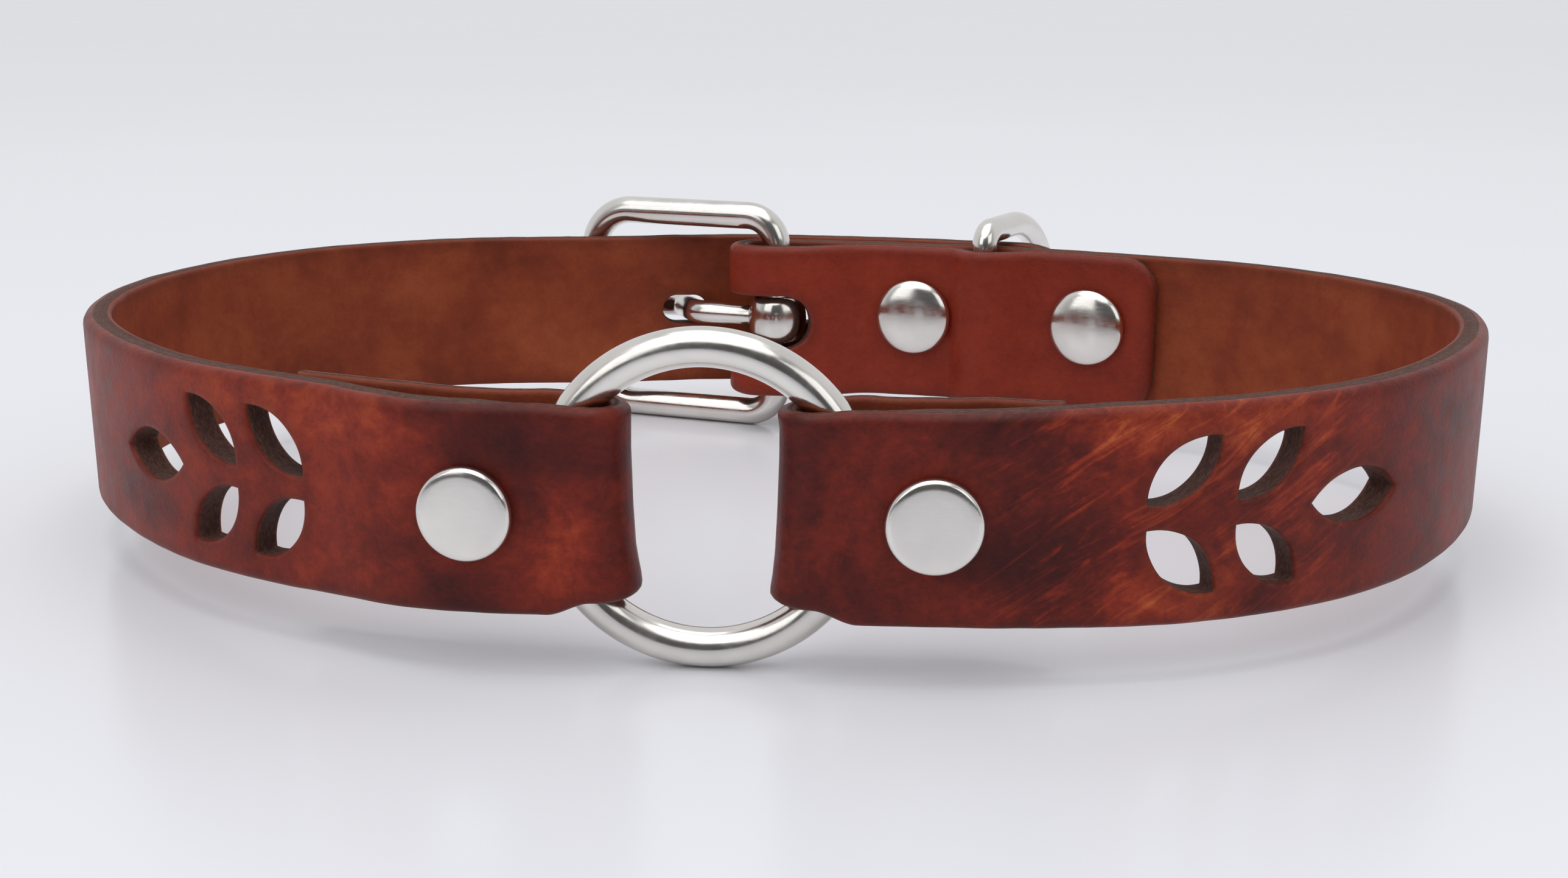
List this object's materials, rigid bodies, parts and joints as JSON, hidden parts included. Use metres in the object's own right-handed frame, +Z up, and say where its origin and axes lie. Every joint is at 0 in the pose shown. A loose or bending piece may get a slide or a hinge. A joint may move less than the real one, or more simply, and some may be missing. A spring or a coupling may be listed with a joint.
{
  "type": "dog collar",
  "caption": "Buckled leather dog collar of riveted straps folded round a front ring, with pierced leaf sprigs, a heel-bar buckle and a D-ring, standing on its edge.",
  "frame": {"origin": "middle of the footprint, on the surface that the collar stands on", "axes": "+X to the right with the O-ring in front, -Y out of the front, +Z up along the strap's width"},
  "size_m": [0.1448, 0.106, 0.0296],
  "materials": {
    "leather": "mottled mahogany brown leather with a soft sheen and raw edges",
    "nickel": "satin nickel plate with fine scratches"
  },
  "bodies": {
    "collar": {"billet_strap": "leather", "buckle_strap": "leather", "rivet_front_left": "nickel", "rivet_front_right": "nickel", "rivet_back_heel": "nickel", "rivet_back_flap": "nickel", "buckle_frame": "nickel", "buckle_tongue": "nickel"},
    "o_ring": {"o_ring": "nickel"},
    "d_ring": {"d_ring": "nickel"}
  },
  "joints": [
    {"name": "o_ring_turn", "type": "hinge", "parent": "collar", "child": "o_ring", "pos_m": [-0.00564, -0.0459, 0.0148], "axis": [0.0935, 0.9956, 0], "continuous": true},
    {"name": "d_ring_swing", "type": "hinge", "parent": "collar", "child": "d_ring", "pos_m": [0.02586, 0.03352, 0.0137], "axis": [0, 0, 1], "range_deg": [-24, 40]}
  ]
}
